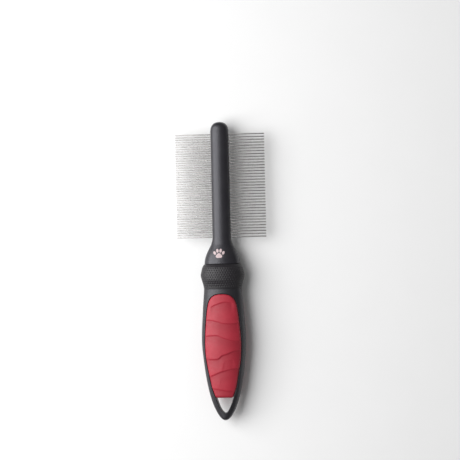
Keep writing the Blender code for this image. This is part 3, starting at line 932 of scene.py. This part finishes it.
def moulded_plastic(name, colour, lighter, roughness):
    """Satin plastic with the fine grain of its mould, a faint flow mottle and a few softer patches."""
    surface = Surface(name, colour, roughness, Specular_IOR_Level=0.55, Specular_Tint=(0.94, 0.94, 1, 1))
    surface.paint(surface.blend(surface.spread(surface.noise(7 * MM, 3), 0.35, 0.65), colour, lighter))
    surface.roughen(surface.noise(2.5 * MM, 4), roughness - 0.04, roughness + 0.05)
    surface.emboss((surface.noise(0.25 * MM, 3), 0.03 * MM), (surface.noise(1.6 * MM), 0.015 * MM))
    return surface.material


# Painted shade: the share of the rubber's colour left in its deepest hollows, the collar's dimples and the
# dips past the grip's wave steps, where shade falls.
PAINTED_HOLLOW_SHADE = 0.84  # of the rubber's colour, in its deepest hollows


def soft_rubber(name, colour, lighter, roughness, grain):
    """Rubber with a dry, fine-grained skin, and shade painted into its colour in its hollows."""
    shine = {"Specular_IOR_Level": 0.42, "Sheen_Weight": 0.04, "Sheen_Roughness": 0.4}
    surface = Surface(name, colour, roughness, **shine)
    mottled = surface.blend(surface.spread(surface.noise(3.5 * MM, 4), 0.35, 0.65), colour, lighter)
    # Painted shade: the colour blends towards the shaded colour where the mesh's hollow attribute is high.
    painted_shade_colour = tuple(PAINTED_HOLLOW_SHADE * part for part in colour)
    surface.paint(surface.blend(surface.attribute("hollow"), mottled, painted_shade_colour))
    surface.roughen(surface.noise(1.8 * MM, 3), roughness - 0.05, roughness + 0.06)
    surface.emboss((surface.noise(0.2 * MM, 3), grain), (surface.spots(0.7 * MM), 0.2 * grain))
    return surface.material


def drawn_steel(name):
    """Stainless wire, with the fine marks of drawing along X and a faint warm and cool mottle."""
    surface = Surface(name, (0.56, 0.55, 0.54), 0.24, Metallic=1.0)
    along = (30, 1, 1)
    tint = surface.spread(surface.noise(0.4 * MM, 3, along), 0.3, 0.7)
    surface.paint(surface.blend(tint, (0.44, 0.43, 0.43), (0.58, 0.56, 0.545)))
    surface.roughen(surface.noise(0.25 * MM, 3, along), 0.22, 0.32)
    surface.emboss((surface.noise(0.12 * MM, 2, along), 0.006 * MM))
    return surface.material


def nylon(name):
    """Plain moulded nylon for the hidden racks and the core bar."""
    surface = Surface(name, (0.03, 0.03, 0.033), 0.5)
    surface.paint(surface.blend(surface.noise(1.5 * MM, 3), (0.025, 0.025, 0.028), (0.04, 0.04, 0.044)))
    surface.emboss((surface.noise(0.4 * MM, 3), 0.02 * MM))
    return surface.material


def printed_ink(name):
    """Thin pale ink, worn a little towards the plastic under it."""
    fresh, faded = (0.6, 0.47, 0.48), (0.35, 0.27, 0.28)
    surface = Surface(name, fresh, 0.5)
    worn = surface.spread(surface.noise(0.7 * MM, 4), 0.56, 0.72)
    surface.paint(surface.blend(worn, fresh, faded))
    surface.emboss((surface.noise(0.3 * MM, 3), 0.01 * MM))
    return surface.material


def floor_paper(name):
    """Matt white paper, very faintly uneven."""
    surface = Surface(name, (0.88, 0.88, 0.88), 0.85, Specular_IOR_Level=0.2)
    surface.paint(surface.blend(surface.noise(30 * MM, 3), (0.87, 0.87, 0.87), (0.89, 0.89, 0.89)))
    return surface.material


RUBBER_GRAIN = 0.03 * MM

steel = drawn_steel("drawn_steel")
charcoal = moulded_plastic("charcoal_plastic", (0.016, 0.015, 0.019), (0.02, 0.019, 0.023), 0.33)
black = moulded_plastic("black_plastic", (0.013, 0.012, 0.015), (0.016, 0.015, 0.018), 0.4)
dimpled = soft_rubber("collar_rubber", (0.014, 0.012, 0.015), (0.018, 0.016, 0.019), 0.42, RUBBER_GRAIN)
red = soft_rubber("grip_rubber", (0.385, 0.018, 0.037), (0.41, 0.021, 0.041), 0.5, RUBBER_GRAIN)
black_nylon = nylon("black_nylon")

teeth("fine", FINE_TEETH, steel)
teeth("medium", MEDIUM_TEETH, steel)
for side in ("front", "back"):
    spine_shell(side, charcoal)
    handle_shell(side, black)
    pad(side, red)
collar(dimpled)
paw_print(printed_ink("pale_ink"))
for hidden in ("fine_tooth_rack", "medium_tooth_rack", "core_bar"):
    node = frame["nodes"][hidden]
    node.data.materials.clear()
    node.data.materials.append(black_nylon)

# --- floor, light and camera ----------------------------------------------------------------------

FLOOR_SIZE = 6
VIEW_WIDTH = 339.2 * MM
VIEW_LEAN = math.radians(1.29)  # by which the comb's tip leans to the left
VIEW_SIDE = math.radians(7)  # by which the camera stands to the right of straight above
VIEW_MIDDLE = Vector((6.26 * MM, 30.2 * MM, PLANE))
CAMERA_DISTANCE = 1.6


def floor():
    bpy.ops.mesh.primitive_plane_add(size=FLOOR_SIZE)
    plane = bpy.context.object
    plane.name = "floor"
    plane.data.materials.append(floor_paper("floor_paper"))


def area_light(name, place, size, power):
    """A soft rectangular light that faces the comb's middle."""
    light = bpy.data.lights.new(name, "AREA")
    light.shape = "RECTANGLE"
    light.size, light.size_y = size
    light.energy = power
    lamp = bpy.data.objects.new(name, light)
    lamp.location = place
    lamp.rotation_euler = (-Vector(place)).to_track_quat("-Z", "Y").to_euler()
    lamp.visible_camera = False
    bpy.context.scene.collection.objects.link(lamp)


def world(strength):
    """Even white light from all round."""
    made = bpy.data.worlds.new("studio")
    made.use_nodes = True
    background = made.node_tree.nodes["Background"]
    background.inputs["Color"].default_value = (1, 1, 1, 1)
    background.inputs["Strength"].default_value = strength
    bpy.context.scene.world = made


def camera():
    """Looks down on the comb, a little from its right."""
    lens = bpy.data.cameras.new("camera")
    lens.sensor_width = 36
    lens.lens = lens.sensor_width * CAMERA_DISTANCE / VIEW_WIDTH
    eye = bpy.data.objects.new("camera", lens)
    turned = Matrix.Rotation(VIEW_SIDE, 4, "Y") @ Matrix.Rotation(-VIEW_LEAN, 4, "Z")
    away = Matrix.Translation((0, 0, CAMERA_DISTANCE))
    eye.matrix_world = Matrix.Translation(VIEW_MIDDLE) @ turned @ away
    bpy.context.scene.collection.objects.link(eye)
    bpy.context.scene.camera = eye


floor()
world(0.22)
area_light("key", (-0.6, 0.12, 0.74), (1.0, 1.0), 13.5)
area_light("side", (-0.9, 0.1, 0.3), (0.9, 0.45), 2.4)
camera()
bpy.context.scene.view_settings.view_transform = "Standard"
